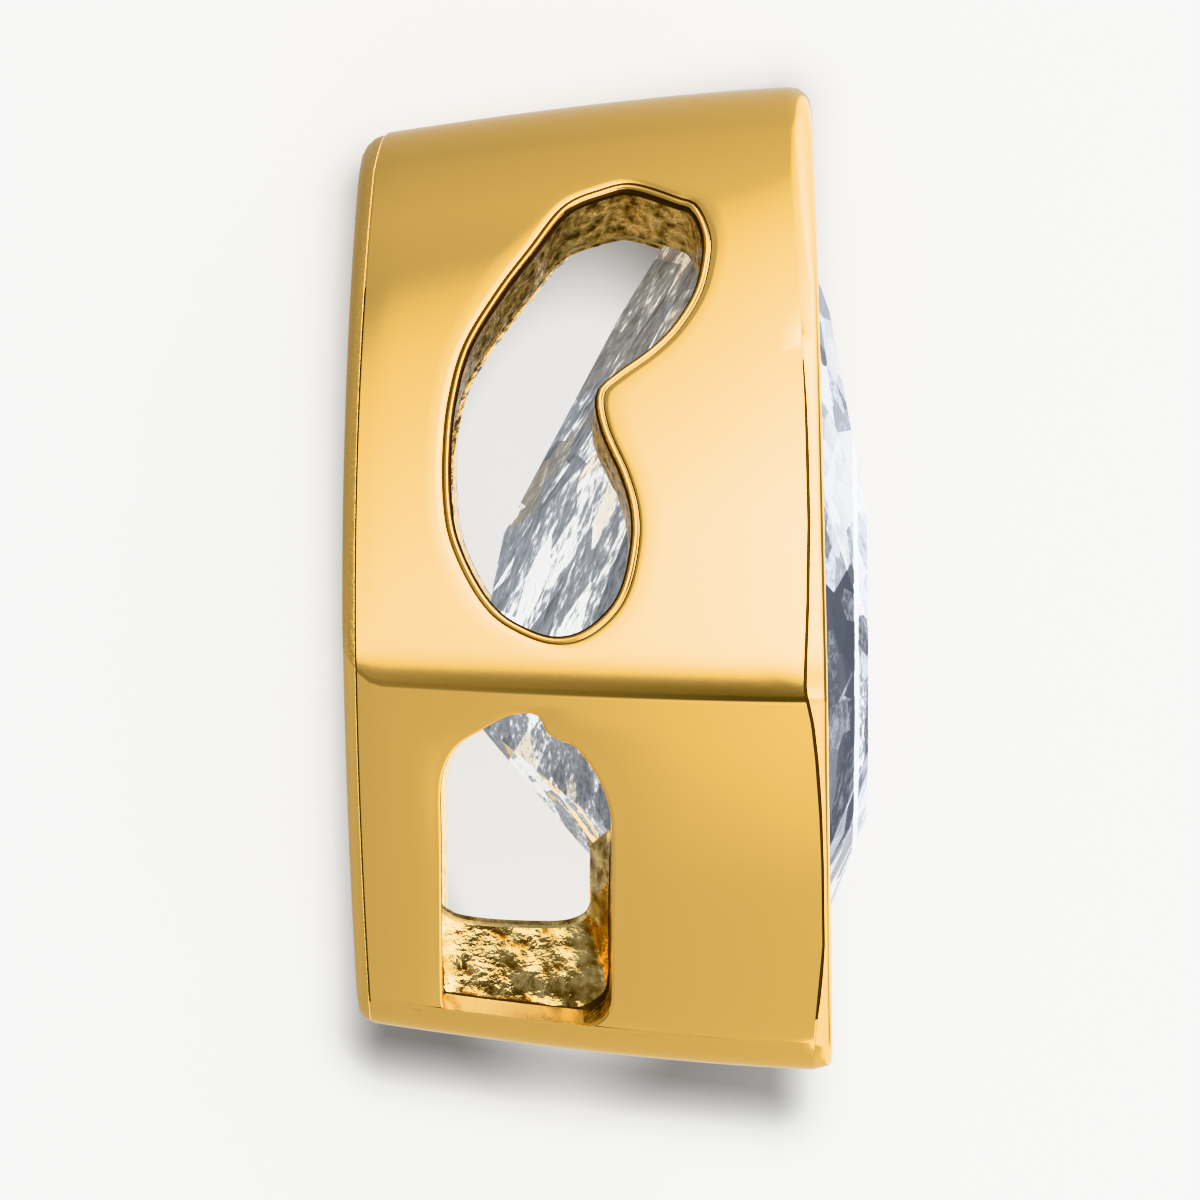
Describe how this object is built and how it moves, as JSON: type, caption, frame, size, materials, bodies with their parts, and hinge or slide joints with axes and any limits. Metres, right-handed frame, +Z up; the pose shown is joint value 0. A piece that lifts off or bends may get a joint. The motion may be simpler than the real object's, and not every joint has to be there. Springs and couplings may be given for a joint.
{
  "type": "slide pendant",
  "caption": "Slide pendant: a pear-cut clear stone, point up, in a deep polished gold frame that narrows to the back, with a comma window and an arched window in each side wall.",
  "frame": {"origin": "middle of the bounding box's underside: the pendant lies on its far side wall, as in the picture", "axes": "+X towards the pendant's front, where the stone's table faces, +Y towards its top, where the stone's point is, +Z up; both directions are within 14 degrees, because the side wall that it lies on is curved and tapered"},
  "size_m": [0.0056, 0.01, 0.0072],
  "materials": {
    "gold": "polished yellow gold, rough as cast inside the windows",
    "stone": "polished facets, clear"
  },
  "bodies": {
    "root": {"setting": "gold", "stone": "stone"}
  },
  "joints": []
}
